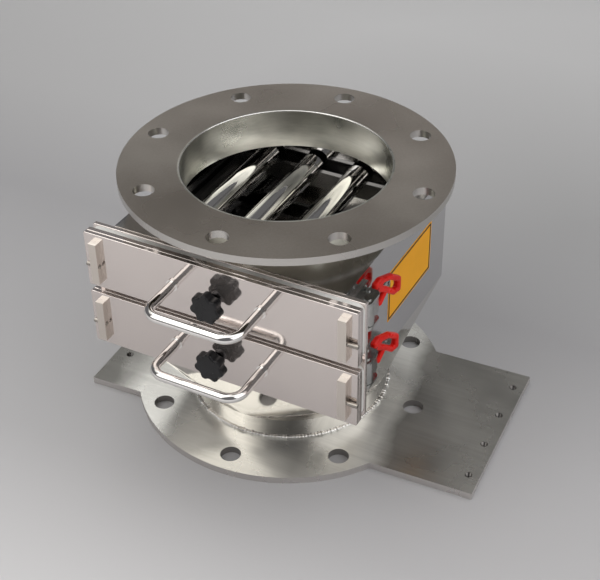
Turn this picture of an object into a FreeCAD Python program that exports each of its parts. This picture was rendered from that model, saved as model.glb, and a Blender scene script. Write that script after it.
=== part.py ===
import FreeCAD, Part
import math
import os

from FreeCAD import Matrix, Vector

# Two-drawer magnetic separator for a 219.1 mm gravity chute, millimetres.
# Origin: centre of the lower flange's underside. X runs along the drawer fronts,
# the drawers pull out towards -Y and product falls down through the bore along -Z.

# Chute pipe and its two plate flanges
pipe_outer_d = 219.1
pipe_wall = 1.5
pipe_to_bolts = 37.95
bolts_to_rim = 22.5
flange_thickness = 8.0
bolt_hole_d = 22.0
bolt_count = 8
flange_turn_deg = 2.7

# Mounting ears that the lower flange plate runs out into
ear_width = 200.0
right_ear_run = 78.6
left_ear_run = 28.7
ear_hole_d = 8.0
right_ear_hole_inset = 11.8
right_ear_hole_pitch = 50.0
right_ear_hole_count = 4
left_ear_hole_inset = 16.8
left_ear_hole_pitch = 96.4
left_ear_hole_count = 2

# Square housing, and the hopper from it down to the round outlet
outlet_height = 32.0
hopper_height = 74.0
housing_side_margin = 18.45
housing_front_margin = 13.95
housing_back_margin = 10.45
inlet_height = 33.4
sheet = 2.0
bead = 3.0
bead_bulge = 0.62

# Drawer fronts, from the housing's front frame out to the magnets' own plate
front_side_lap = 23.0
front_drop = 1.5
plate_height = 63.5
plate_gap = 8.0
roof_rise = 0.5
frame_thickness = 5.0
seal_thickness = 6.0
inner_plate_thickness = 6.0
outer_plate_thickness = 5.0
mouth_side_lip = 6.0
mouth_height = 42.0
seal_band = 9.0
seal_set_back = 1.0
seal_corner_r = 8.0
plate_corner_r = 1.5
plate_edge_r = 0.7

# Extractor tubes and the magnet rods that slide in them
tube_d = 25.4
tube_wall = 1.0
tube_pitch = 55.0
tube_count = 4
tube_rise = 4.0
tube_plug = 4.0
tube_end_gap = 6.0
rod_gap = 0.3
rod_end_gap = 2.0

# Cradle under each drawer's tubes, and the rails that it slides on
runner_inset = 15.0
runner_width = 6.0
runner_height = 16.0
runner_drop = 4.0
cross_bar_depth = 6.0
cross_bar_inset = 6.0
rail_height = 20.0
rail_thickness = 4.0
rail_lap = 3.0

# Side blocks with their pins on each outer plate
block_inset = 13.5
block_width = 9.0
block_depth = 6.5
block_height = 47.5
pin_d = 5.0
pin_drop = 3.0
pin_depth = 8.0
right_pin_reach = 11.3
left_pin_reach = 5.8
pin_chamfer = 0.5

# Pull handle of each magnet plate
handle_spread = 98.0
handle_rod_d = 10.0
handle_reach = 52.5
handle_bend_r = 16.0
handle_collar_d = 13.0
handle_collar_t = 2.0

# Star knob of each magnet plate
knob_d = 33.0
knob_lobes = 7
knob_lobe_r = 4.5
knob_valley_r = 4.0
knob_thickness = 11.0
knob_front = 22.5
knob_hub_d = 15.0
knob_hub_length = 5.5
knob_edge_r = 1.6
stud_d = 8.0
stud_gap = 0.1
stud_grip = 8.0
stud_collar_d = 13.0
stud_collar_t = 2.5

# Toggle latches on the housing's right wall, one beside each drawer
latch_plate_height = 44.0
latch_set_back = 9.5
latch_plate_length = 33.0
latch_plate_t = 3.0
latch_ear_t = 3.0
latch_ear_gap = 26.0
latch_ear_reach = 18.0
latch_ear_inset = 3.0
latch_ear_corner_r = 6.0
latch_pivot_run = 13.0
latch_pivot_off = 11.5
latch_pin_d = 5.0
latch_pin_gap = 0.1
latch_head_d = 7.5
latch_head_t = 1.4
latch_stud_d = 4.5
latch_stud_run = 25.0
latch_stud_off = 6.5
latch_side_gap = 0.5
latch_boss_r = 6.5
latch_tail_run = 36.0
latch_tail_off = 8.0
latch_tail_r = 4.5
latch_web = 2.0
latch_rivet_d = 5.0
latch_rivet_h = 1.2

# Red grip of each latch: a loop in a plane through the latch's length, measured from the lever's tail
grip_run = 40.0
grip_end_off = 16.0
grip_thickness = 7.0
grip_neck_back = 2.0
grip_neck_low = 9.0
grip_neck_high = 17.0
grip_shoulder_at = 7.0
grip_shoulder_rise = 20.5
grip_brow_at = 26.0
grip_brow_rise = 15.0
grip_end_rise = 4.5
grip_end_drop = 12.0
grip_heel_run = 12.0
grip_throat = 14.0
grip_leg = 6.2
grip_corner_r = 3.5
grip_hole_r = 2.0
grip_edge_r = 2.6
release_d = 6.2
release_length = 13.0
release_at = 16.5
release_drop_deg = 42.0

# Draw hook folded back between the grip and the wall
hook_length = 44.0
hook_height = 9.0
hook_t = 2.5
hook_off = 1.5
hook_low = 10.5
hook_gap = 1.0
hook_eye_d = 5.6
hook_boss_d = 7.0

up = Vector(0, 0, 1)
forward = Vector(0, -1, 0)
outward = Vector(1, 0, 0)
pipe_r = pipe_outer_d / 2
bore_r = pipe_r - pipe_wall
bolt_circle_r = pipe_r + pipe_to_bolts
flange_r = bolt_circle_r + bolts_to_rim
right_ear_x = flange_r + right_ear_run
left_ear_x = -flange_r - left_ear_run
half_housing = pipe_r + housing_side_margin
housing_front_y = -pipe_r - housing_front_margin
housing_back_y = pipe_r + housing_back_margin
housing_bottom_z = outlet_height + hopper_height
front_bottom_z = housing_bottom_z - front_drop
front_height = 2 * plate_height + plate_gap
housing_top_z = front_bottom_z + front_height + roof_rise
upper_flange_z = housing_top_z + inlet_height
half_front = half_housing + front_side_lap
frame_front_y = housing_front_y - frame_thickness
seal_front_y = frame_front_y - seal_thickness
inner_front_y = seal_front_y - inner_plate_thickness
face_y = inner_front_y - outer_plate_thickness
lower_mid_z = front_bottom_z + plate_height / 2
levels = {"lower": lower_mid_z, "upper": lower_mid_z + plate_height + plate_gap}
sides = {"left": -1, "right": 1}
tube_r = tube_d / 2
tube_back_y = housing_back_y - sheet - tube_end_gap
tube_xs = [tube_pitch * (i - (tube_count - 1) / 2) for i in range(tube_count)]
runner_x = half_housing - runner_inset
block_x = half_front - block_inset
latch_front_y = housing_front_y + latch_set_back
latch_back_y = latch_front_y + latch_plate_length


def box(x0, x1, y0, y1, z0, z1):
    return Part.makeBox(x1 - x0, y1 - y0, z1 - z0, Vector(x0, y0, z0))


def disc(radius, height, base, axis=up):
    return Part.makeCylinder(radius, height, base, axis)


def tube(outer_r, inner_r, height, base, axis=up):
    return disc(outer_r, height, base, axis).cut(disc(inner_r, height, base, axis))


def rounded_block(width, height, depth, corner_r, mid_z, back_y):
    # An upright plate with rounded corners, its back at back_y and centred on x = 0
    block = box(-width / 2, width / 2, back_y - depth, back_y, mid_z - height / 2, mid_z + height / 2)
    across = [e for e in block.Edges if abs(e.tangentAt(e.FirstParameter).y) > 0.99]
    return block.makeFillet(corner_r, across)


def front_plate(height, depth, mid_z, back_y):
    # As wide as the drawer fronts, with its front and back rims broken
    plate = rounded_block(2 * half_front, height, depth, plate_corner_r, mid_z, back_y)
    rims = [e for e in plate.Edges if abs(e.tangentAt(e.FirstParameter).y) < 0.01]
    return plate.makeFillet(plate_edge_r, rims)


def mirrored(shape, side):
    return shape if side > 0 else shape.mirror(Vector(0, 0, 0), Vector(1, 0, 0))


def turned_with_flange(shape):
    return shape.rotated(Vector(0, 0, 0), up, flange_turn_deg)


def bolt_holes(base_z):
    cutters = []
    for i in range(bolt_count):
        angle = math.radians(360 / bolt_count * i)
        centre = Vector(bolt_circle_r * math.cos(angle), bolt_circle_r * math.sin(angle), base_z)
        cutters.append(disc(bolt_hole_d / 2, flange_thickness, centre))
    return cutters


def top_flange():
    ring = tube(flange_r, pipe_r, flange_thickness, Vector(0, 0, upper_flange_z))
    return turned_with_flange(ring.cut(bolt_holes(upper_flange_z)))


def ear_holes(x, pitch, count):
    first = -pitch * (count - 1) / 2
    return [disc(ear_hole_d / 2, flange_thickness, Vector(x, first + pitch * i, 0)) for i in range(count)]


def bottom_flange():
    ears = box(left_ear_x, right_ear_x, -ear_width / 2, ear_width / 2, 0, flange_thickness)
    plate = disc(flange_r, flange_thickness, Vector(0, 0, 0)).fuse(ears).removeSplitter()
    cutters = bolt_holes(0)
    cutters += ear_holes(right_ear_x - right_ear_hole_inset, right_ear_hole_pitch, right_ear_hole_count)
    cutters += ear_holes(left_ear_x + left_ear_hole_inset, left_ear_hole_pitch, left_ear_hole_count)
    cutters.append(disc(pipe_r, flange_thickness, Vector(0, 0, 0)))
    return turned_with_flange(plate.cut(cutters))


def neck(z0, z1):
    return tube(pipe_r, bore_r, z1 - z0, Vector(0, 0, z0))


def weld_bead(z, rise):
    # A fillet weld with a bulged face, in the corner between the pipe and a plate at z
    corner = Vector(pipe_r, 0, z)
    toe = Vector(pipe_r + bead, 0, z)
    top = Vector(pipe_r, 0, z + rise * bead)
    crown = Vector(pipe_r + bead_bulge * bead, 0, z + bead_bulge * rise * bead)
    face = Part.Arc(toe, crown, top).toShape()
    section = Part.Wire([Part.makeLine(corner, toe), face, Part.makeLine(top, corner)])
    return Part.Face(section).revolve(Vector(0, 0, 0), up, 360)


def transition_hull(half_width, front_y, back_y, radius):
    # Solid between a rectangle and a circle: four flat triangles and four conical corners
    corners = [
        Vector(half_width, back_y, housing_bottom_z),
        Vector(-half_width, back_y, housing_bottom_z),
        Vector(-half_width, front_y, housing_bottom_z),
        Vector(half_width, front_y, housing_bottom_z),
    ]
    round_end = [
        Vector(radius * math.cos(math.pi / 4 * i), radius * math.sin(math.pi / 4 * i), outlet_height)
        for i in range(9)
    ]
    faces = [Part.Face(Part.makePolygon(corners + corners[:1]))]
    faces.append(Part.Face(Part.Wire(Part.makeCircle(radius, Vector(0, 0, outlet_height)))))
    for i in range(4):
        quarter = Part.Arc(*round_end[2 * i:2 * i + 3]).toShape()
        cone = Part.makeLoft([Part.Vertex(corners[i]), Part.Wire([quarter])], False, True)
        faces += cone.Faces
        outline = [corners[i], corners[(i + 1) % 4], round_end[2 * i + 2], corners[i]]
        faces.append(Part.Face(Part.makePolygon(outline)))
    return Part.makeSolid(Part.makeShell(faces))


def hopper():
    outside = transition_hull(half_housing, housing_front_y, housing_back_y, pipe_r)
    inside = transition_hull(
        half_housing - sheet, housing_front_y + sheet, housing_back_y - sheet, bore_r
    )
    return outside.cut(inside)


def side_wall(side):
    wall = box(
        half_housing - sheet, half_housing, housing_front_y, housing_back_y, housing_bottom_z, housing_top_z
    )
    return mirrored(wall, side)


def rear_wall():
    half = half_housing - sheet
    return box(-half, half, housing_back_y - sheet, housing_back_y, housing_bottom_z, housing_top_z)


def roof():
    half = half_housing - sheet
    panel = box(-half, half, housing_front_y, housing_back_y - sheet, housing_top_z - sheet, housing_top_z)
    return panel.cut(disc(pipe_r, sheet, Vector(0, 0, housing_top_z - sheet)))


def front_frame():
    mid_z = front_bottom_z + front_height / 2
    half_mouth = half_housing - mouth_side_lip
    frame = front_plate(front_height, frame_thickness, mid_z, housing_front_y)
    for level_z in levels.values():
        mouth = box(
            -half_mouth, half_mouth, frame_front_y, housing_front_y,
            level_z - mouth_height / 2, level_z + mouth_height / 2,
        )
        frame = frame.cut(mouth)
    return frame


def runner_bottom(level_z):
    return level_z + tube_rise - runner_drop - runner_height


def rails(level_z):
    # Angle rails on both side walls; each drawer's cradle slides on their ledges
    z = runner_bottom(level_z)
    wall_x = half_housing - sheet
    inner_x = runner_x - runner_width / 2 - rail_lap
    web_top = z + rail_height - rail_thickness
    ledge = box(inner_x, wall_x, housing_front_y, tube_back_y, z - rail_thickness, z)
    web = box(wall_x - rail_thickness, wall_x, housing_front_y, tube_back_y, z, web_top)
    rail = ledge.fuse(web).removeSplitter()
    return Part.makeCompound([rail, mirrored(rail, sides["left"])])


def inner_plate(level_z):
    thickness = inner_plate_thickness
    tube_z = level_z + tube_rise
    plate = front_plate(plate_height, thickness, level_z, seal_front_y)
    holes = [disc(tube_r, thickness, Vector(x, seal_front_y, tube_z), forward) for x in tube_xs]
    holes.append(disc(stud_d / 2 + stud_gap, thickness, Vector(0, seal_front_y, level_z), forward))
    return plate.cut(holes)


def seal(level_z):
    width = 2 * (half_front - seal_set_back)
    height = plate_height - 2 * seal_set_back
    ring = rounded_block(width, height, seal_thickness, seal_corner_r, level_z, frame_front_y)
    opening = rounded_block(
        width - 2 * seal_band, height - 2 * seal_band, seal_thickness, seal_corner_r, level_z, frame_front_y
    )
    return ring.cut(opening)


def extractor_tubes(level_z):
    # Thin tubes that open at the drawer's front and are plugged at the back
    tubes = []
    length = tube_back_y - inner_front_y
    for x in tube_xs:
        front = Vector(x, inner_front_y, level_z + tube_rise)
        shell = disc(tube_r, length, front, -forward)
        hollow = disc(tube_r - tube_wall, length - tube_plug, front, -forward)
        tubes.append(shell.cut(hollow))
    return Part.makeCompound(tubes)


def cradle(level_z):
    # Two runners from the inner plate back to a cross bar that is notched round the tubes
    z = runner_bottom(level_z)
    bar_back = tube_back_y - cross_bar_inset
    half_width = runner_x + runner_width / 2
    runner = box(half_width - runner_width, half_width, seal_front_y, bar_back, z, z + runner_height)
    bar_top = level_z + tube_rise
    bar = box(-half_width, half_width, bar_back - cross_bar_depth, bar_back, z, bar_top)
    frame = bar.fuse([runner, mirrored(runner, sides["left"])]).removeSplitter()
    notches = [
        disc(tube_r, cross_bar_depth, Vector(x, bar_back, level_z + tube_rise), forward) for x in tube_xs
    ]
    return frame.cut(notches)


def outer_plate(level_z):
    thickness = outer_plate_thickness
    plate = front_plate(plate_height, thickness, level_z, inner_front_y)
    return plate.cut(disc(stud_d / 2 + stud_gap, thickness, Vector(0, inner_front_y, level_z), forward))


def magnet_rods(level_z):
    length = tube_back_y - tube_plug - rod_end_gap - inner_front_y
    radius = tube_r - tube_wall - rod_gap
    return Part.makeCompound([
        disc(radius, length, Vector(x, inner_front_y, level_z + tube_rise), -forward) for x in tube_xs
    ])


def side_block(level_z, side):
    inner_x = block_x - block_width / 2
    block = box(
        inner_x, inner_x + block_width, face_y - block_depth, face_y,
        level_z - block_height / 2, level_z + block_height / 2,
    )
    pin_from = Vector(inner_x, face_y - block_depth / 2, level_z - pin_drop)
    return mirrored(block.cut(disc(pin_d / 2, block_width, pin_from, outward)), side)


def pins(level_z):
    # One pin in each side block; the right one stands past the plate for the latch's hook
    outer_x = block_x + block_width / 2
    base = Vector(outer_x - pin_depth, face_y - block_depth / 2, level_z - pin_drop)
    pieces = []
    for side, reach in ((sides["left"], left_pin_reach), (sides["right"], right_pin_reach)):
        pin = disc(pin_d / 2, pin_depth + reach, base, outward)
        rim = [e for e in pin.Edges if e.Closed and e.CenterOfMass.x > outer_x]
        pieces.append(mirrored(pin.makeChamfer(pin_chamfer, rim), side))
    return Part.makeCompound(pieces)


def handle(level_z):
    # Round bar bent to a U, with a collar where each arm meets the plate
    half = handle_spread / 2
    bar_y = face_y - handle_reach
    start = face_y
    bend = handle_bend_r
    leg_end = bar_y + bend
    diagonal = bend * (1 - math.sqrt(0.5))
    centre_line = Part.Wire([
        Part.makeLine(Vector(half, start, level_z), Vector(half, leg_end, level_z)),
        Part.Arc(
            Vector(half, leg_end, level_z),
            Vector(half - diagonal, bar_y + diagonal, level_z),
            Vector(half - bend, bar_y, level_z),
        ).toShape(),
        Part.makeLine(Vector(half - bend, bar_y, level_z), Vector(bend - half, bar_y, level_z)),
        Part.Arc(
            Vector(bend - half, bar_y, level_z),
            Vector(diagonal - half, bar_y + diagonal, level_z),
            Vector(-half, leg_end, level_z),
        ).toShape(),
        Part.makeLine(Vector(-half, leg_end, level_z), Vector(-half, start, level_z)),
    ])
    section = Part.Wire(Part.makeCircle(handle_rod_d / 2, Vector(half, start, level_z), forward))
    bar = centre_line.makePipeShell([section], True, True)
    collars = [
        disc(handle_collar_d / 2, handle_collar_t, Vector(x, start, level_z), forward)
        for x in (-half, half)
    ]
    return bar.fuse(collars)


def star_outline(y, mid_z):
    # Round lobes joined by hollow valleys, every arc tangent to the next
    lobe_at = knob_d / 2 - knob_lobe_r
    half_step = math.pi / knob_lobes
    reach = knob_lobe_r + knob_valley_r
    valley_at = lobe_at * math.cos(half_step) + math.sqrt(reach ** 2 - (lobe_at * math.sin(half_step)) ** 2)

    def at(radius, angle):
        return Vector(radius * math.sin(angle), y, mid_z + radius * math.cos(angle))

    edges = []
    for i in range(knob_lobes):
        angle = 2 * half_step * i
        lobe = at(lobe_at, angle)
        before = at(valley_at, angle - half_step)
        after = at(valley_at, angle + half_step)
        next_lobe = at(lobe_at, angle + 2 * half_step)
        left = lobe + (before - lobe) * (knob_lobe_r / reach)
        right = lobe + (after - lobe) * (knob_lobe_r / reach)
        next_left = next_lobe + (after - next_lobe) * (knob_lobe_r / reach)
        edges.append(Part.Arc(left, at(knob_d / 2, angle), right).toShape())
        valley = at(valley_at - knob_valley_r, angle + half_step)
        edges.append(Part.Arc(right, valley, next_left).toShape())
    return Part.Wire(edges)


def star_knob(level_z):
    front_y = face_y - knob_front
    back_y = front_y + knob_thickness
    head = Part.Face(star_outline(front_y, level_z)).extrude(Vector(0, knob_thickness, 0))
    rims = [e for e in head.Edges if abs(e.tangentAt(e.FirstParameter).y) < 0.01]
    head = head.makeFillet(knob_edge_r, rims)
    hub = disc(knob_hub_d / 2, knob_hub_length, Vector(0, back_y + knob_hub_length, level_z), forward)
    bore_end = back_y + knob_hub_length
    socket = disc(stud_d / 2, stud_grip, Vector(0, bore_end, level_z), forward)
    return head.fuse(hub).removeSplitter().cut(socket)


def stud(level_z):
    # Turned stud: gripped by the knob, collared at the plate and reaching through both plates
    knob_back = face_y - knob_front + knob_thickness + knob_hub_length
    start = knob_back - stud_grip
    shank = disc(stud_d / 2, seal_front_y - start, Vector(0, seal_front_y, level_z), forward)
    collar = disc(stud_collar_d / 2, stud_collar_t, Vector(0, face_y, level_z), forward)
    return shank.fuse(collar).removeSplitter()


def latch_point(off, run):
    # A point off the housing's right wall and behind the latch plate's front edge
    return Vector(half_housing + off, latch_front_y + run, 0)


def latch_base(level_z):
    # Riveted plate with two ears, the pivot pin with its heads and a stop stud in each ear
    plate_x = half_housing + latch_plate_t
    plate = box(
        half_housing, plate_x, latch_front_y, latch_back_y,
        level_z - latch_plate_height / 2, level_z + latch_plate_height / 2,
    )
    ear_outer = latch_ear_gap / 2 + latch_ear_t
    pivot = latch_point(latch_pivot_off, latch_pivot_run)
    stud_at = latch_point(latch_stud_off, latch_stud_run)
    pieces = [disc(latch_pin_d / 2, 2 * ear_outer, Vector(pivot.x, pivot.y, level_z - ear_outer))]
    for ear_z, head_z in (
        (level_z + latch_ear_gap / 2, level_z + ear_outer),
        (level_z - ear_outer, level_z - ear_outer - latch_head_t),
    ):
        ear = box(
            plate_x, half_housing + latch_ear_reach, latch_front_y + latch_ear_inset,
            latch_back_y - latch_ear_inset, ear_z, ear_z + latch_ear_t,
        )
        corners = [
            e for e in ear.Edges
            if abs(e.tangentAt(e.FirstParameter).z) > 0.99 and e.CenterOfMass.x > plate_x + latch_ear_t
        ]
        pieces.append(ear.makeFillet(latch_ear_corner_r, corners))
        pieces.append(disc(latch_head_d / 2, latch_head_t, Vector(pivot.x, pivot.y, head_z)))
        pieces.append(disc(latch_stud_d / 2, latch_head_t, Vector(stud_at.x, stud_at.y, head_z)))
    rivet_rise = latch_plate_height / 2 - latch_rivet_d
    for z in (level_z - rivet_rise, level_z + rivet_rise):
        for y in (latch_front_y + latch_rivet_d, latch_back_y - latch_rivet_d):
            pieces.append(disc(latch_rivet_d / 2, latch_rivet_h, Vector(plate_x, y, z), outward))
    return plate.fuse(pieces).removeSplitter()


def stretched_disc(start, start_r, end, end_r, z0, height):
    # Plate with round ends of two sizes joined by straight sides
    span = end - start
    angle = math.atan2(span.y, span.x)
    lean = math.acos((start_r - end_r) / span.Length)

    def rim(centre, radius, turn):
        away = Vector(math.cos(angle + turn), math.sin(angle + turn), 0)
        return Vector(centre.x, centre.y, z0) + away * radius

    start_rim = [rim(start, start_r, turn) for turn in (-lean, math.pi, lean)]
    end_rim = [rim(end, end_r, turn) for turn in (lean, 0, -lean)]
    outline = Part.Wire([
        Part.Arc(*start_rim).toShape(),
        Part.makeLine(start_rim[2], end_rim[0]),
        Part.Arc(*end_rim).toShape(),
        Part.makeLine(end_rim[2], start_rim[0]),
    ])
    return Part.Face(outline).extrude(Vector(0, 0, height))


def latch_lever(level_z):
    # Channel lever with its open side to the wall, turning on the pin between the base's ears
    half = latch_ear_gap / 2 - latch_side_gap
    pivot = latch_point(latch_pivot_off, latch_pivot_run)
    tail = latch_point(latch_tail_off, latch_tail_run)
    lever = stretched_disc(pivot, latch_boss_r, tail, latch_tail_r, level_z - half, 2 * half)
    shift = Vector(-latch_web, 0, 0)
    inside = half - latch_web
    hollow = stretched_disc(
        pivot + shift, latch_boss_r, tail + shift, latch_tail_r, level_z - inside, 2 * inside
    )
    bore = disc(latch_pin_d / 2 + latch_pin_gap, 2 * half, Vector(pivot.x, pivot.y, level_z - half))
    return lever.cut([hollow, bore])


def grip_along():
    start = latch_point(latch_tail_off, latch_tail_run)
    return latch_point(grip_end_off, latch_tail_run + grip_run) - start


def grip_frame(level_z):
    # Placement whose X runs along the grip, Y upwards and Z away from the wall
    tail = latch_point(latch_tail_off, latch_tail_run)
    along = grip_along().normalize()
    off_wall = along.cross(up)
    return FreeCAD.Placement(Matrix(
        along.x, 0, off_wall.x, tail.x,
        along.y, 0, off_wall.y, tail.y,
        0, 1, 0, level_z,
        0, 0, 0, 1,
    ))


def grip_outline():
    # Flat face of the grip: a high neck at the lever, an arched back and a round-cornered loop
    low = -grip_thickness / 2
    length = grip_along().Length
    corners = [
        Vector(-grip_neck_back, grip_neck_low, low),
        Vector(-grip_neck_back, grip_neck_high, low),
        Vector(grip_shoulder_at, grip_shoulder_rise, low),
        Vector(grip_brow_at, grip_brow_rise, low),
        Vector(length, grip_end_rise, low),
        Vector(length, -grip_end_drop, low),
        Vector(length - grip_heel_run, -grip_end_drop, low),
        Vector(grip_throat, 0, low),
    ]
    sharp = Part.Face(Part.makePolygon(corners + corners[:1]))
    return sharp.makeOffset2D(-grip_corner_r, 2).makeOffset2D(grip_corner_r, 0)


def latch_grip(level_z):
    # Dipped grip: a solid neck that opens into a finger loop, and the release tongue below it
    outline = grip_outline()
    finger_hole = outline.makeOffset2D(-grip_leg - grip_hole_r).makeOffset2D(grip_hole_r)
    body = outline.cut(finger_hole).Faces[0].extrude(Vector(0, 0, grip_thickness))
    flat_edges = [e for e in body.Edges if e.BoundBox.ZLength < 0.01]
    body = body.makeFillet(grip_edge_r, flat_edges)
    drop = math.radians(release_drop_deg)
    reach = Vector(-math.sin(drop), -math.cos(drop), 0)
    root = Vector(release_at, 0, 0)
    tongue = disc(release_d / 2, release_length, root, reach)
    tip = Part.makeSphere(release_d / 2, root + reach * release_length)
    grip = body.fuse([tongue, tip])
    grip.Placement = grip_frame(level_z)
    return grip.cut(latch_lever(level_z))


def latch_hook(level_z):
    # Flat draw hook with an eye for the drawer's pin, folded back behind the grip
    inner_x = half_housing + hook_off
    mid_z = level_z - hook_low
    start_y = latch_back_y + hook_gap
    end_y = start_y + hook_length
    half = hook_height / 2
    bar = box(inner_x, inner_x + hook_t, start_y, end_y, mid_z - half, mid_z + half)
    nose = disc(half, hook_t, Vector(inner_x, end_y, mid_z), outward)
    root = Vector(inner_x, start_y + hook_boss_d / 2, mid_z)
    boss = disc(hook_boss_d / 2, hook_t + latch_web, root, outward)
    eye = disc(hook_eye_d / 2, hook_t, Vector(inner_x, end_y, mid_z), outward)
    hook = bar.fuse([nose, boss]).removeSplitter().cut(eye)
    return hook.cut(latch_lever(level_z))


def build():
    nodes = {
        "bottom_flange": bottom_flange(),
        "bottom_neck": neck(0, outlet_height),
        "bottom_weld": weld_bead(flange_thickness, 1),
        "hopper": hopper(),
        "left_wall": side_wall(sides["left"]),
        "right_wall": side_wall(sides["right"]),
        "rear_wall": rear_wall(),
        "roof": roof(),
        "front_frame": front_frame(),
        "top_neck": neck(housing_top_z - sheet, upper_flange_z + flange_thickness),
        "top_weld": weld_bead(upper_flange_z, -1),
        "top_flange": top_flange(),
    }
    for level, level_z in levels.items():
        nodes[f"rails_{level}"] = rails(level_z)
        nodes[f"inner_plate_{level}"] = inner_plate(level_z)
        nodes[f"seal_{level}"] = seal(level_z)
        nodes[f"extractor_tubes_{level}"] = extractor_tubes(level_z)
        nodes[f"cradle_{level}"] = cradle(level_z)
        nodes[f"outer_plate_{level}"] = outer_plate(level_z)
        nodes[f"magnet_rods_{level}"] = magnet_rods(level_z)
        nodes[f"pins_{level}"] = pins(level_z)
        nodes[f"handle_{level}"] = handle(level_z)
        nodes[f"star_knob_{level}"] = star_knob(level_z)
        nodes[f"knob_stud_{level}"] = stud(level_z)
        nodes[f"latch_base_{level}"] = latch_base(level_z)
        nodes[f"latch_lever_{level}"] = latch_lever(level_z)
        nodes[f"latch_grip_{level}"] = latch_grip(level_z)
        nodes[f"latch_hook_{level}"] = latch_hook(level_z)
        for side_name, side in sides.items():
            nodes[f"side_block_{level}_{side_name}"] = side_block(level_z, side)
    return nodes


os.makedirs("parts", exist_ok=True)
for name, shape in build().items():
    shape.exportStep(f"parts/{name}.step")
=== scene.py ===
import math
import random

import bpy
from mathutils import Matrix, Vector


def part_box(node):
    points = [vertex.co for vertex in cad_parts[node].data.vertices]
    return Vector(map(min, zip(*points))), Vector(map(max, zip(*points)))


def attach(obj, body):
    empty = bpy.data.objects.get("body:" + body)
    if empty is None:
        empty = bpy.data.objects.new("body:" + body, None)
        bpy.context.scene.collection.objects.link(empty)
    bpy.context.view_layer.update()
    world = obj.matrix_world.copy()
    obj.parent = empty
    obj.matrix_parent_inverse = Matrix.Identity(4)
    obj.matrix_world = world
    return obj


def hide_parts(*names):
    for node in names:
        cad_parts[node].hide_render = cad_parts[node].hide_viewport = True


# Two-drawer magnetic separator in polished and satin stainless steel. Metres.

# Camera, as fitted to the photograph
camera_azimuth = math.radians(28.26)
camera_elevation = math.radians(36.28)
camera_roll = math.radians(-0.96)
camera_place = Vector((0.5448, -0.9884, 0.9500))
camera_lens = 77.94
camera_sensor = 36

# Weld beads round the two pipe stubs, each a row of overlapping drops. The CAD's bead is plain.
# bead_root is how deep a bead starts in the pipe, and bead_foot its thickness at both edges as a
# share of the middle's. drop_sizes are shares of bead_size, drop_shift is how far a drop's middle
# may sit in or out, and drop_low is a drop's lowest size as a share of its crown's. drop_lean is 1
# for an even drop and 0 for one that is fullest where it starts.
bead_size = 0.0037
bead_pitch = 0.0036
bead_steps = 1100
bead_section = 9
bead_root = 0.0003
bead_foot = 0.72
plain_bead_width = 0.003
drop_sizes = (0.78, 1.04)
drop_shift = 0.0004
drop_lean = 0.6
drop_low = 0.68

# Tapped holes along the outer edges of the lower flange's ears, placed before the flange's turn
# about z. thread_start is how far above the flange's underside a thread begins.
thread_root_r = 0.00395
thread_crest_r = 0.00335
thread_pitch = 0.00125
thread_turns = 6
thread_start = 0.0003
thread_segments = 24
flange_turn = math.radians(2.7)
right_ear_holes = [(0.2368, y) for y in (-0.075, -0.025, 0.025, 0.075)]
left_ear_holes = [(-0.1819, y) for y in (-0.0482, 0.0482)]

# Rolled seam near the plugged end of each extractor tube. Each of its slopes takes seam_slope of
# its width.
seam_inset = 0.0125
seam_width = 0.0012
seam_rise = 0.0002
seam_slope = 0.25
seam_segments = 48
tube_r = 0.0127
tube_xs = (-0.0825, -0.0275, 0.0275, 0.0825)

# Rounded edge of the upper flange's bore, in a brighter steel as a painted highlight
bore_r = 0.10805
edge_r = 0.0007
edge_steps = 360
edge_section = 10

# Orange plate on the right wall, with a dark printed border
sign_front = -0.0265
sign_back = 0.0805
sign_low = 0.1408
sign_high = 0.2010
sign_thickness = 0.0003
sign_border = 0.0023
sign_inset = 0.0012
sign_print_thickness = 0.00006

# Noise: its middle, and the span that most of it lies in
noise_middle = 0.5
noise_span = (0.3, 0.7)

# Steepness of a face, as its normal's height: upright up to the first, level from the second
upright_span = (0.3, 0.8)

# What all steels share: fine grain, cloudy polish with some of the grain in its tone, slow waves
# in the sheet, how far the clouds shift painted light along its axis, and the most that painted
# light brightens
steel_grain_roughness = 0.6
steel_grain_share = 0.3
steel_cloud_roughness = 0.55
steel_tone_span = (0.48, 0.82)
steel_waves = {"scale": 7.0, "detail": 1.0}
painted_light_drift = 0.5
painted_light_most = 2.0
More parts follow.
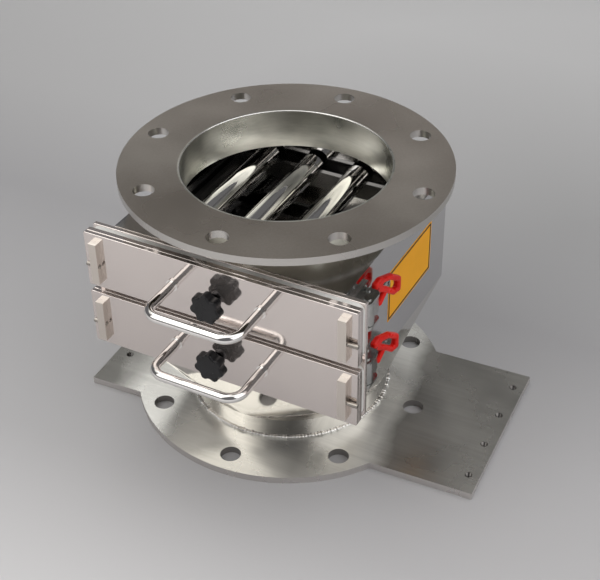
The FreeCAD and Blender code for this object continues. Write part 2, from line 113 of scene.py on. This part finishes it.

# Steels. dark and light are the two ends of the cloudy polish, rough its roughness, and grain the
# grain's frequency along x, y and z. The upright colour is the colour of upright faces, painted
# light and shade that sets them apart from level faces. The painted light entry names an axis and
# pairs of place and brightness along it, painted light, shade and reflections on the part. metal
# below 1 leaves a haze over dark reflections.
polish = {
    "dark": (0.7, 0.675, 0.63), "light": (0.78, 0.75, 0.7), "rough": (0.05, 0.11),
    "grain": (900, 900, 40), "wave_depth": 0.002,
}
steels = {
    # Top flange: painted light, dark at the front and bright at the back, and a painted light
    # colour on its upright faces
    "flange_steel": {
        "dark": (0.5, 0.445, 0.39), "light": (0.62, 0.57, 0.515), "rough": (0.26, 0.34),
        "grain": (500, 500, 500), "cloud_scale": 5.0, "upright_painted_light": (0.57, 0.55, 0.525),
        "painted_light": ("Y", ((-0.17, 0.54), (-0.05, 0.66), (0.06, 0.98), (0.15, 1.12))),
    },
    "front_plate_steel": {
        "dark": (0.77, 0.7, 0.67), "light": (0.81, 0.74, 0.705), "rough": (0.05, 0.09),
        "grain": (900, 900, 40), "grain_depth": 0.000005, "wave_depth": 0.0002, "metal": 0.86,
    },
    # Side blocks: painted light, tops bright and upright faces darker
    "block_steel": {
        "dark": (0.9, 0.88, 0.83), "light": (0.98, 0.96, 0.91), "rough": (0.3, 0.4),
        "grain": (900, 900, 300), "upright_painted_light": (0.74, 0.68, 0.62),
    },
    "side_wall_steel": {
        "dark": (0.66, 0.655, 0.66), "light": (0.72, 0.715, 0.72), "rough": (0.06, 0.12),
        "grain": (900, 40, 900), "wave_depth": 0.0008,
    },
    "polished_steel": polish,
    # Lower neck: painted reflections, bright and dark bands along x
    "low_neck_steel": {
        **polish,
        "painted_light": ("X", (
            (-0.11, 0.9), (-0.05, 1.08), (0.01, 1.08), (0.03, 0.62), (0.065, 0.62), (0.085, 0.84),
            (0.11, 0.8),
        )),
    },
    # Upper neck: painted reflection, a bright band low in the bore, dimmer upwards
    "neck_steel": {
        "dark": (0.42, 0.425, 0.38), "light": (0.66, 0.65, 0.59), "rough": (0.22, 0.36),
        "grain": (60, 60, 300), "wave_depth": 0.0006, "cloud_scale": 14.0,
        "painted_light": ("Z", ((0.24, 1.6), (0.25, 1.45), (0.258, 1.1), (0.281, 0.95))),
    },
    "tube_steel": {
        "dark": (0.84, 0.82, 0.79), "light": (0.92, 0.9, 0.87), "rough": (0.03, 0.06),
        "grain": (900, 30, 900), "grain_depth": 0.000005, "wave_depth": 0.0002,
    },
    "handle_steel": {
        "dark": (0.84, 0.82, 0.8), "light": (0.93, 0.91, 0.89), "rough": (0.06, 0.12),
        "grain": (500, 500, 500),
    },
    "pin_steel": {
        "dark": (0.35, 0.32, 0.29), "light": (0.45, 0.42, 0.38), "rough": (0.15, 0.25),
        "grain": (40, 900, 900), "grain_depth": 0.00002,
    },
    "sheet_steel": {
        "dark": (0.55, 0.54, 0.52), "light": (0.68, 0.67, 0.65), "rough": (0.12, 0.22),
        "grain": (900, 60, 900), "wave_depth": 0.0006,
    },
    "rail_steel": {
        "dark": (0.24, 0.235, 0.225), "light": (0.36, 0.35, 0.34), "rough": (0.2, 0.3),
        "grain": (900, 60, 900), "wave_depth": 0.0006,
    },
    "latch_steel": {
        "dark": (0.38, 0.385, 0.375), "light": (0.57, 0.565, 0.55), "rough": (0.18, 0.27),
        "grain": (200, 200, 200), "grain_depth": 0.00002, "cloud_scale": 40.0,
    },
    "stud_steel": {
        "dark": (0.035, 0.035, 0.038), "light": (0.07, 0.07, 0.073), "rough": (0.14, 0.24),
        "grain": (300, 300, 300),
    },
    # Threads and tube seams: dark steel, painted shade inside the tapped holes and the dark joint
    # line of each seam
    "thread_shade_and_seam_steel": {
        "dark": (0.12, 0.115, 0.11), "light": (0.2, 0.19, 0.18), "rough": (0.15, 0.25),
        "grain": (500, 500, 500),
    },
    # Bore edge: steel brighter than the flange round it, a painted highlight
    "edge_highlight_steel": {
        "dark": (0.82, 0.81, 0.79), "light": (0.95, 0.94, 0.92), "rough": (0.14, 0.22),
        "grain": (300, 300, 300),
    },
}

# Mottled finishes. blotch and skin are each a noise's scale and detail: the blotches run from dark
# to light, and the skin is the fine relief.
printed = {
    "rough": (0.5, 0.5), "blotch": (30.0, 3.0), "skin": (180.0, 3.0), "skin_depth": 0.0001,
    "specular": 0.2,
}
coats = {
    "weld_metal": {
        "dark": (0.66, 0.63, 0.59), "light": (0.95, 0.94, 0.92), "rough": (0.08, 0.24),
        "blotch": (55.0, 2.0), "blotch_span": (0.35, 0.65), "skin": (420.0, 3.0),
        "skin_depth": 0.0006, "metal": 1.0,
    },
    "seal_rubber": {
        "dark": (0.66, 0.65, 0.62), "light": (0.8, 0.79, 0.77), "rough": (0.55, 0.55),
        "blotch": (40.0, 3.0), "skin": (900.0, 2.0), "skin_depth": 0.0002,
    },
    "grip_vinyl": {
        "dark": (0.68, 0.005, 0.002), "light": (0.86, 0.012, 0.004), "rough": (0.26, 0.4),
        "blotch": (45.0, 2.0), "skin": (130.0, 2.0), "skin_depth": 0.0004, "specular": 0.3,
    },
    "knob_plastic": {
        "dark": (0.006, 0.006, 0.007), "light": (0.014, 0.014, 0.016), "rough": (0.24, 0.34),
        "blotch": (60.0, 3.0), "skin": (1500.0, 2.0), "skin_depth": 0.00008, "specular": 0.4,
        "rough_by": "blotch",
    },
    "sign_orange": {"dark": (0.93, 0.4185, 0.01116), "light": (1.0, 0.45, 0.012), **printed},
    "sign_ink": {"dark": (0.0186, 0.01674, 0.01395), "light": (0.02, 0.018, 0.015), **printed},
}

# Lower flange: painted light, shade and reflections in bands along a slanting line, which is
# square to an edge before the right ear: dark at the left, bright over the middle with a dimmer
# band, dark over the right ear
slant = (1.0, 0.193, 0.0)
slant_span = (-0.2, 0.3)
slant_drift = 0.05
slant_painted_light = (
    (0.0, (0.22, 0.215, 0.2)),
    (0.06, (0.27, 0.265, 0.25)),
    (0.14, (0.95, 0.94, 0.9)),
    (0.44, (0.95, 0.94, 0.89)),
    (0.55, (0.62, 0.615, 0.59)),
    (0.66, (0.92, 0.91, 0.87)),
    (0.71, (0.88, 0.87, 0.83)),
    (0.75, (0.31, 0.3, 0.28)),
    (1.0, (0.38, 0.37, 0.345)),
)
flange_clouds = {"scale": 9.0, "detail": 4.0, "roughness": 0.6}
flange_brushing = {"scale": 1.0, "stretch": (12, 260, 60), "detail": 2.0}
flange_wear_span = (0.7, 1.3)
flange_wear = (0.88, 1.05)
flange_rough = (0.22, 0.34)
flange_metal = 0.84
flange_wave_depth = 0.0004
# Upright faces of the lower flange: painted shade on those near the middle, the walls of its bore
# and bolt holes, and a lighter painted light colour on those further out, its rim and ears
hole_wall_shade = (0.34, 0.325, 0.31)
rim_side = (0.68, 0.65, 0.63)
rim_start = (0.163, 0.165)

# The finish of each CAD node whose name starts like this
node_finishes = {
    "bottom_flange": "lower_flange_steel", "top_flange": "flange_steel",
    "left_wall": "side_wall_steel", "right_wall": "side_wall_steel",
    "rear_wall": "side_wall_steel", "roof": "sheet_steel", "hopper": "polished_steel",
    "bottom_neck": "low_neck_steel", "top_neck": "neck_steel", "front_frame": "front_plate_steel",
    "rails": "rail_steel", "cradle": "rail_steel", "inner_plate": "front_plate_steel",
    "outer_plate": "front_plate_steel", "seal": "seal_rubber", "extractor_tubes": "tube_steel",
    "magnet_rods": "tube_steel", "side_block": "block_steel", "pins": "pin_steel",
    "handle": "handle_steel", "star_knob": "knob_plastic", "knob_stud": "stud_steel",
    "latch_base": "latch_steel", "latch_lever": "latch_steel", "latch_grip": "grip_vinyl",
    "latch_hook": "sheet_steel",
}

# Table: pale paper that sweeps up behind the object, with painted light and shade along y, a
# painted soft shade round one point, and painted dimming from one height to another
table_half_width = 6.0
table_front_y = -4.0
table_bend_y = 1.6
table_bend_r = 1.0
table_bend_steps = 16
table_top_z = 2.4
table_tone_span = (-1.0, 1.0)
table_painted_light = (
    (0.2, (0.8, 0.79, 0.795)),
    (0.4, (0.49, 0.483, 0.49)),
    (0.5, (0.45, 0.444, 0.453)),
    (0.6, (0.385, 0.38, 0.39)),
    (0.73, (0.49, 0.486, 0.49)),
    (0.95, (0.6, 0.597, 0.6)),
)
shade_middle = (0.2, 0.45, 0.0)
shade_reach = 0.65
shade_tone = 0.72
dim_span = (1.6, 2.3)
dim_tone = 0.55
table_rough = 0.7

# Lamps: place, aim, width, height, watts and colour
lamps = {
    "key": ((-0.85, -1.3, 1.75), (0, 0, 0.1), 1.7, 2.6, 18, (1.0, 0.985, 0.955)),
    "top": ((0.0, 0.3, 2.3), (0, 0, 0.1), 3.2, 2.4, 28, (1, 1, 1)),
    "fill": ((1.5, -0.05, 1.0), (0, 0, 0.15), 2.2, 1.4, 12, (1, 1, 1)),
}

# Dim room with a bright ceiling at the back left, which the lower flange's disc mirrors and its
# right ear misses. ceiling_edge is the level direction square to the ceiling's right edge.
ceiling_edge = (0.925, 0.379, 0.0)
ceiling_right = (-0.03, 0.02)
ceiling_front = (-0.2, 0.0)
ceiling_low = (0.6, 0.67)
room_dark = (0.13, 0.13, 0.135)
room_bright = (0.95, 0.94, 0.9)


def set_inputs(tree, node, inputs):
    for name, value in inputs.items():
        if isinstance(value, bpy.types.NodeSocket):
            tree.links.new(value, node.inputs[name])
        else:
            node.inputs[name].default_value = value


def add(tree, kind, inputs=None, **settings):
    node = tree.nodes.new(kind)
    for name, value in settings.items():
        setattr(node, name, value)
    set_inputs(tree, node, inputs or {})
    return node


def arithmetic(tree, operation, first, second):
    return add(tree, "ShaderNodeMath", {0: first, 1: second}, operation=operation).outputs["Value"]


def vector_value(tree, operation, first, second=(0, 0, 0)):
    node = add(tree, "ShaderNodeVectorMath", {0: first, 1: second}, operation=operation)
    return node.outputs["Value"]


def scaled(tree, vector, factor):
    node = add(tree, "ShaderNodeVectorMath", {0: vector, "Scale": factor}, operation="SCALE")
    return node.outputs["Vector"]


def place_of(tree):
    return add(tree, "ShaderNodeTexCoord").outputs["Object"]


def along(tree, vector, axis):
    return add(tree, "ShaderNodeSeparateXYZ", {"Vector": vector}).outputs[axis]


def noise(tree, scale, stretch=(1, 1, 1), detail=3.0, roughness=0.5):
    # Noise in metres of the object's own frame, drawn out along an axis by a small stretch
    mapped = add(tree, "ShaderNodeMapping", {"Vector": place_of(tree), "Scale": stretch})
    texture = add(tree, "ShaderNodeTexNoise", {
        "Vector": mapped.outputs["Vector"],
        "Scale": scale,
        "Detail": detail,
        "Roughness": roughness,
    })
    return texture.outputs["Fac"]


def spread(tree, value, low, high, to_low=0, to_high=1):
    ranged = add(tree, "ShaderNodeMapRange", {
        "Value": value,
        "From Min": low,
        "From Max": high,
        "To Min": to_low,
        "To Max": to_high,
    })
    return ranged.outputs["Result"]


def colours(tree, share, low, high):
    # From low at 0 to high at 1, each a triple or another node's colour
    ends = [(*end, 1) if isinstance(end, tuple) else end for end in (low, high)]
    mixed = add(
        tree, "ShaderNodeMix", {"Factor": share, "A": ends[0], "B": ends[1]}, data_type="RGBA"
    )
    return mixed.outputs["Result"]


def ramp(tree, value, stops):
    made = add(tree, "ShaderNodeValToRGB", {"Fac": value})
    elements = made.color_ramp.elements
    while len(elements) < len(stops):
        elements.new(1.0)
    for element, (place, colour) in zip(elements, stops):
        element.position = place
        element.color = (*colour, 1)
    return made.outputs["Color"]


def bumped(tree, height, distance, under=None):
    inputs = {"Height": height, "Distance": distance, "Strength": 1.0}
    if under is not None:
        inputs["Normal"] = under
    return add(tree, "ShaderNodeBump", inputs).outputs["Normal"]


def upright_share(tree):
    # 0 on level faces, 1 on upright ones
    facing = add(tree, "ShaderNodeNewGeometry").outputs["True Normal"]
    level = add(tree, "ShaderNodeMath", {0: along(tree, facing, "Z")}, operation="ABSOLUTE")
    return spread(tree, level.outputs["Value"], *upright_span, 1, 0)


def material(name):
    made = bpy.data.materials.new(name)
    made.use_nodes = True
    return made, made.node_tree, made.node_tree.nodes["Principled BSDF"]


def painted_light_along(tree, paint, clouds, axis, pairs):
    # Painted light, shade and reflections along an axis. The ramp holds each brightness as a share
    # of the most that painted light brightens, because its colours stop at 1
    first, last = pairs[0][0], pairs[-1][0]
    stops = [((at - first) / (last - first), (value / painted_light_most,) * 3) for at, value in pairs]
    cloudy = arithmetic(tree, "SUBTRACT", clouds, noise_middle)
    drift = arithmetic(tree, "MULTIPLY", cloudy, (last - first) * painted_light_drift)
    moved = arithmetic(tree, "ADD", along(tree, place_of(tree), axis), drift)
    level = scaled(tree, ramp(tree, spread(tree, moved, first, last), stops), painted_light_most)
    node = add(tree, "ShaderNodeVectorMath", {0: paint, 1: level}, operation="MULTIPLY")
    return node.outputs["Vector"]


def steel(
    name, dark, light, rough, grain, grain_depth=0.00001, wave_depth=0.0, cloud_scale=7.0,
    upright_painted_light=None, painted_light=None, metal=1.0,
):
    made, tree, shader = material(name)
    lines = noise(tree, 1.0, grain, roughness=steel_grain_roughness)
    clouds = noise(tree, cloud_scale, roughness=steel_cloud_roughness)
    waves = noise(tree, **steel_waves)
    tone = arithmetic(tree, "ADD", arithmetic(tree, "MULTIPLY", lines, steel_grain_share), clouds)
    paint = colours(tree, spread(tree, tone, *steel_tone_span), dark, light)
    # Painted light, shade and reflections along an axis of the part
    if painted_light is not None:
        paint = painted_light_along(tree, paint, clouds, *painted_light)
    # Upright faces take their own colour: painted light and shade
    if upright_painted_light is not None:
        paint = colours(tree, upright_share(tree), paint, upright_painted_light)
    set_inputs(tree, shader, {
        "Metallic": metal,
        "Base Color": paint,
        "Roughness": spread(tree, clouds, *noise_span, *rough),
        "Normal": bumped(tree, lines, grain_depth, bumped(tree, waves, wave_depth)),
    })
    return made


def flange_satin():
    # Hand-brushed plate of the lower flange, with painted light, shade and reflections in bands
    # across it
    made, tree, shader = material("lower_flange_steel")
    place = place_of(tree)
    clouds = noise(tree, **flange_clouds)
    brushing = noise(tree, **flange_brushing)
    across = vector_value(tree, "DOT_PRODUCT", place, slant)
    at = arithmetic(tree, "ADD", across, arithmetic(tree, "MULTIPLY", clouds, slant_drift))
    rubbed = arithmetic(tree, "ADD", clouds, brushing)
    wear = spread(tree, rubbed, *flange_wear_span, *flange_wear)
    level = scaled(tree, ramp(tree, spread(tree, at, *slant_span), slant_painted_light), wear)
    # Upright faces: painted shade near the middle, painted light further out
    out = vector_value(tree, "LENGTH", place)
    upright_painted_light = colours(tree, spread(tree, out, *rim_start), hole_wall_shade, rim_side)
    set_inputs(tree, shader, {
        "Metallic": flange_metal,
        "Base Color": colours(tree, upright_share(tree), level, upright_painted_light),
        "Roughness": spread(tree, clouds, *noise_span, *flange_rough),
        "Normal": bumped(tree, noise(tree, **steel_waves), flange_wave_depth),
    })
    return made


def mottled(
    name, dark, light, rough, blotch, skin, skin_depth, blotch_span=noise_span, rough_by="skin",
    specular=0.5, metal=0.0,
):
    made, tree, shader = material(name)
    patterns = {
        "blotch": noise(tree, blotch[0], detail=blotch[1]),
        "skin": noise(tree, skin[0], detail=skin[1]),
    }
    set_inputs(tree, shader, {
        "Metallic": metal,
        "Base Color": colours(tree, spread(tree, patterns["blotch"], *blotch_span), dark, light),
        "Roughness": spread(tree, patterns[rough_by], *noise_span, *rough),
        "Specular IOR Level": specular,
        "Normal": bumped(tree, patterns["skin"], skin_depth),
    })
    return made


def mesh_object(name, points, faces, finish, smooth=False):
    mesh = bpy.data.meshes.new(name)
    mesh.from_pydata(points, [], faces)
    mesh.materials.append(finish)
    for face in mesh.polygons:
        face.use_smooth = smooth
    mesh.update()
    made = bpy.data.objects.new(name, mesh)
    bpy.context.scene.collection.objects.link(made)
    return made


def mesh_piece(name, points, faces, body, finish, smooth=False):
    piece = mesh_object(name, points, faces, finish, smooth)
    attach(piece, body)
    return piece


def ring_faces(steps, section, first=0, closed=False, flipped=False):
    # Faces between the sections of a ring, whose points start at number first
    faces = []
    for i in range(steps):
        a = first + i * section
        b = first + (i + 1) % steps * section
        for j in range(section if closed else section - 1):
            k = (j + 1) % section
            faces.append((a + j, a + k, b + k, b + j) if flipped else (a + j, b + j, b + k, a + k))
    return faces


def weld_bead(name, node, facing, finish, seed):
    # Bead in the corner between a pipe and a flange that it stands on (1) or hangs from (-1)
    picker = random.Random(seed)
    low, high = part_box(node)
    pipe_r = high.x - plain_bead_width
    base_z = low.z if facing > 0 else high.z
    drops = round(2 * math.pi * pipe_r / bead_pitch)
    sizes = [picker.uniform(*drop_sizes) for _ in range(drops)]
    shifts = [picker.uniform(-drop_shift, drop_shift) for _ in range(drops)]
    points = []
    for i in range(bead_steps):
        turn = i / bead_steps
        theta = 2 * math.pi * turn
        at = turn * drops
        k = int(at) % drops
        ahead = at - int(at)
        crown = math.sqrt(max(0.0, 1 - ((1 + drop_lean) * ahead - drop_lean) ** 2))
        size = bead_size * sizes[k] * (drop_low + (1 - drop_low) * crown)
        for j in range(bead_section):
            angle = math.pi / 2 * j / (bead_section - 1)
            middle = math.sin(2 * angle)
            bulge = size * (bead_foot + (1 - bead_foot) * middle)
            radius = pipe_r - bead_root + bulge * math.cos(angle) + shifts[k] * middle
            z = base_z + facing * bulge * math.sin(angle)
            points.append((radius * math.cos(theta), radius * math.sin(theta), z))
    faces = ring_faces(bead_steps, bead_section, flipped=facing < 0)
    piece = mesh_piece(name, points, faces, "housing", finish, True)
    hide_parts(node)


def threads(name, finish):
    # Screw thread inside each tapped hole of the lower flange
    steps = thread_segments * thread_turns
    points = []
    faces = []
    for hole_x, hole_y in right_ear_holes + left_ear_holes:
        x = hole_x * math.cos(flange_turn) - hole_y * math.sin(flange_turn)
        y = hole_x * math.sin(flange_turn) + hole_y * math.cos(flange_turn)
        first = len(points)
        for i in range(steps + 1):
            angle = 2 * math.pi * i / thread_segments
            z = thread_start + thread_pitch * i / thread_segments
            for radius, rise in ((thread_crest_r, 0), (thread_root_r, thread_pitch / 2)):
                right, back = radius * math.cos(angle), radius * math.sin(angle)
                points.append((x + right, y + back, z + rise))
        for i in range(steps):
            a = first + 2 * i
            faces.append((a, a + 1, a + 3, a + 2))
            if i + thread_segments < steps:
                b = a + 2 * thread_segments
                faces.append((a + 1, b, b + 2, a + 3))
    mesh_piece(name, points, faces, "housing", finish)


def tube_seams(level, finish):
    # A raised seam round each tube of one drawer
    low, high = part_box(f"extractor_tubes_{level}")
    mid_z = (low.z + high.z) / 2
    back = high.y - seam_inset
    slope = seam_width * seam_slope
    section = ((0, 0), (seam_rise, slope), (seam_rise, seam_width - slope), (0, seam_width))
    points = []
    faces = []
    for x in tube_xs:
        faces += ring_faces(seam_segments, len(section), first=len(points))
        for i in range(seam_segments):
            angle = 2 * math.pi * i / seam_segments
            for rise, run in section:
                radius = tube_r + rise
                right, up = radius * math.cos(angle), radius * math.sin(angle)
                points.append((x + right, back + run, mid_z + up))
    mesh_piece(
        f"tube_seams_{level}", points, faces, f"drawer_{level}", finish, True
    )


def bore_edge(name, node, finish):
    # Rounded edge where a flange's bore meets its top face
    middle_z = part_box(node)[1].z - edge_r
    points = []
    for i in range(edge_steps):
        theta = 2 * math.pi * i / edge_steps
        for j in range(edge_section):
            angle = 2 * math.pi * j / edge_section
            radius = bore_r + edge_r * math.cos(angle)
            z = middle_z + edge_r * math.sin(angle)
            points.append((radius * math.cos(theta), radius * math.sin(theta), z))
    faces = ring_faces(edge_steps, edge_section, closed=True)
    mesh_piece(name, points, faces, "housing", finish, True)


def flat_plate(name, x, y0, y1, z0, z1, thickness, finish):
    points = [(x + dx, y, z) for dx in (0, thickness) for y in (y0, y1) for z in (z0, z1)]
    faces = [(4, 6, 7, 5), (0, 1, 3, 2), (0, 4, 5, 1), (2, 3, 7, 6), (0, 2, 6, 4), (1, 5, 7, 3)]
    mesh_piece(name, points, faces, "housing", finish)


def wall_sign(orange, ink):
    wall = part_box("right_wall")[1].x
    face = wall + sign_thickness
    flat_plate(
        "sign_plate", wall, sign_front, sign_back, sign_low, sign_high, sign_thickness, orange
    )
    y0 = sign_front + sign_inset
    y1 = sign_back - sign_inset
    z0 = sign_low + sign_inset
    z1 = sign_high - sign_inset
    strips = {
        "bottom": (y0, y1, z0, z0 + sign_border),
        "top": (y0, y1, z1 - sign_border, z1),
        "front": (y0, y0 + sign_border, z0 + sign_border, z1 - sign_border),
        "back": (y1 - sign_border, y1, z0 + sign_border, z1 - sign_border),
    }
    for side, edges in strips.items():
        flat_plate(f"sign_border_{side}", face, *edges, sign_print_thickness, ink)


def dress(nodes, finishes):
    for name, node in nodes.items():
        for start, finish in node_finishes.items():
            if name.startswith(start):
                node.data.materials.clear()
                node.data.materials.append(finishes[finish])


def table_paper():
    made, tree, shader = material("table_paper")
    place = place_of(tree)
    # Painted light and shade: along y, round one point, and up the sweep
    paint = ramp(tree, spread(tree, along(tree, place, "Y"), *table_tone_span), table_painted_light)
    away = vector_value(tree, "DISTANCE", place, shade_middle)
    shade = spread(tree, away, 0.0, shade_reach, shade_tone, 1)
    dimmer = spread(tree, along(tree, place, "Z"), *dim_span, 1, dim_tone)
    shaded = scaled(tree, paint, arithmetic(tree, "MULTIPLY", shade, dimmer))
    set_inputs(tree, shader, {"Base Color": shaded, "Roughness": table_rough})
    return made


def lay_table():
    profile = [(table_front_y, 0.0), (table_bend_y, 0.0)]
    for i in range(1, table_bend_steps + 1):
        angle = math.pi / 2 * i / table_bend_steps
        back, up = table_bend_r * math.sin(angle), table_bend_r * (1 - math.cos(angle))
        profile.append((table_bend_y + back, up))
    profile.append((table_bend_y + table_bend_r, table_top_z))
    points = [(x, y, z) for y, z in profile for x in (-table_half_width, table_half_width)]
    faces = [(2 * i, 2 * i + 1, 2 * i + 3, 2 * i + 2) for i in range(len(profile) - 1)]
    table = mesh_object("table", points, faces, table_paper(), True)


def lamp(name, place, aim, width, height, power, colour):
    data = bpy.data.lights.new(name, "AREA")
    data.shape = "RECTANGLE"
    data.size = width
    data.size_y = height
    data.energy = power
    data.color = colour
    made = bpy.data.objects.new(name, data)
    made.location = place
    made.rotation_euler = (Vector(aim) - Vector(place)).to_track_quat("-Z", "Y").to_euler()
    bpy.context.scene.collection.objects.link(made)


def room():
    world = bpy.data.worlds.new("studio")
    world.use_nodes = True
    tree = world.node_tree
    toward = add(tree, "ShaderNodeTexCoord").outputs["Generated"]
    across = vector_value(tree, "DOT_PRODUCT", toward, ceiling_edge)
    high = spread(tree, along(tree, toward, "Z"), *ceiling_low)
    behind = spread(tree, along(tree, toward, "Y"), *ceiling_front)
    left = spread(tree, across, *ceiling_right, 1, 0)
    share = arithmetic(tree, "MULTIPLY", high, arithmetic(tree, "MULTIPLY", left, behind))
    glow = colours(tree, share, room_dark, room_bright)
    set_inputs(tree, tree.nodes["Background"], {"Color": glow})
    bpy.context.scene.world = world


def photograph_camera():
    sin_a, cos_a = math.sin(camera_azimuth), math.cos(camera_azimuth)
    sin_e, cos_e = math.sin(camera_elevation), math.cos(camera_elevation)
    ahead = Vector((-sin_a * cos_e, cos_a * cos_e, -sin_e))
    level_right = Vector((cos_a, sin_a, 0))
    level_up = level_right.cross(ahead)
    right = level_right * math.cos(camera_roll) + level_up * math.sin(camera_roll)
    up = level_up * math.cos(camera_roll) - level_right * math.sin(camera_roll)
    data = bpy.data.cameras.new("camera")
    data.lens = camera_lens
    data.sensor_width = camera_sensor
    camera = bpy.data.objects.new("camera", data)
    turned = Matrix((right, up, -ahead)).transposed().to_4x4()
    camera.matrix_world = Matrix.Translation(camera_place) @ turned
    bpy.context.scene.collection.objects.link(camera)
    bpy.context.scene.camera = camera


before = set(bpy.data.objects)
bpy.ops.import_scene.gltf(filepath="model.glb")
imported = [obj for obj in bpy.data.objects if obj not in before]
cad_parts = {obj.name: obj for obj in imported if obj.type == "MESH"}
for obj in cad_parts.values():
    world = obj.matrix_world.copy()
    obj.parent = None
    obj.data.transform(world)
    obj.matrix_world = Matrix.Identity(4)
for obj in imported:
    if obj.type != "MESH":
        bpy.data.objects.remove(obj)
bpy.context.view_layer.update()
finishes = {name: steel(name, **settings) for name, settings in steels.items()}
for name, settings in coats.items():
    finishes[name] = mottled(name, **settings)
finishes["lower_flange_steel"] = flange_satin()
dress(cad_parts, finishes)
weld_bead("weld_bead_bottom", "bottom_weld", 1, finishes["weld_metal"], seed=3)
weld_bead("weld_bead_top", "top_weld", -1, finishes["weld_metal"], seed=8)
threads("ear_threads", finishes["thread_shade_and_seam_steel"])
for level in ("lower", "upper"):
    tube_seams(level, finishes["thread_shade_and_seam_steel"])
bore_edge("bore_edge", "top_flange", finishes["edge_highlight_steel"])
wall_sign(finishes["sign_orange"], finishes["sign_ink"])
lay_table()
for name, settings in lamps.items():
    lamp(name, *settings)
room()
bpy.context.scene.view_settings.view_transform = "Standard"
photograph_camera()
